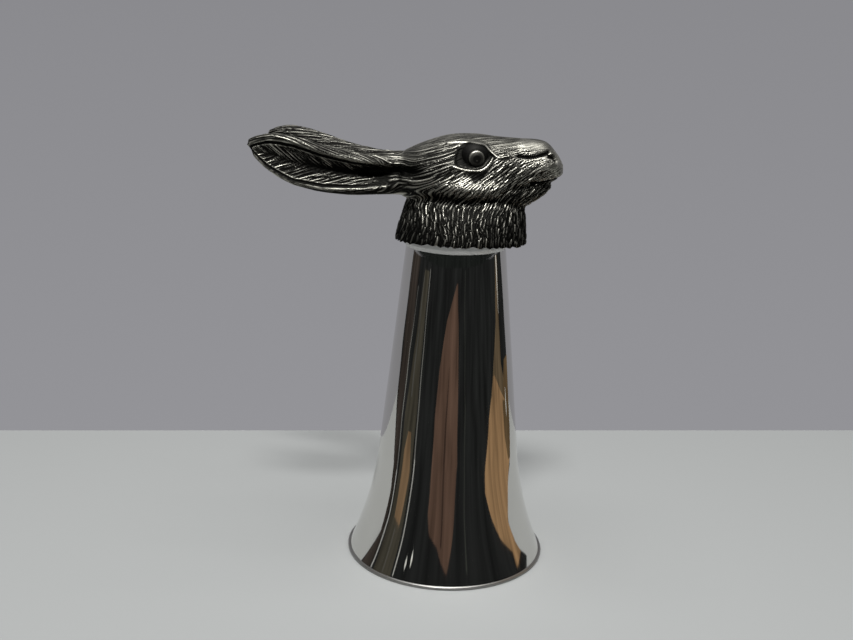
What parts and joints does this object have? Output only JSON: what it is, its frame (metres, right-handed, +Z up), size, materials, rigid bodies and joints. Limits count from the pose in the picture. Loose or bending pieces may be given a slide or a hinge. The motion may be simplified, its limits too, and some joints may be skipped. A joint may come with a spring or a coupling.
{
  "type": "stirrup cup",
  "caption": "Footless pewter drinking cup that stands on its flared mouth, with a cast hare's head as handle on its small end, long ears laid back.",
  "frame": {"origin": "middle of the mouth's rim, on the surface that the cup stands on", "axes": "+Z up along the cup's axis from the mouth to the head, +X the way the hare looks, +Y towards the hare's left"},
  "size_m": [0.088, 0.06, 0.1272],
  "materials": {
    "polished_pewter": "spun and mirror polished",
    "bright_solder": "bright, slightly uneven solder",
    "antiqued_pewter": "cast, darkened in the hollows and rubbed bright on the fur",
    "dark_eye": "smooth, darkened"
  },
  "bodies": {
    "root": {"cup_wall": "polished_pewter", "rim_wire": "polished_pewter", "cup_floor": "polished_pewter", "solder_collar": "bright_solder", "head_casting": "antiqued_pewter", "right_ear": "antiqued_pewter", "left_ear": "antiqued_pewter", "right_eye": "dark_eye", "left_eye": "dark_eye"}
  },
  "joints": []
}
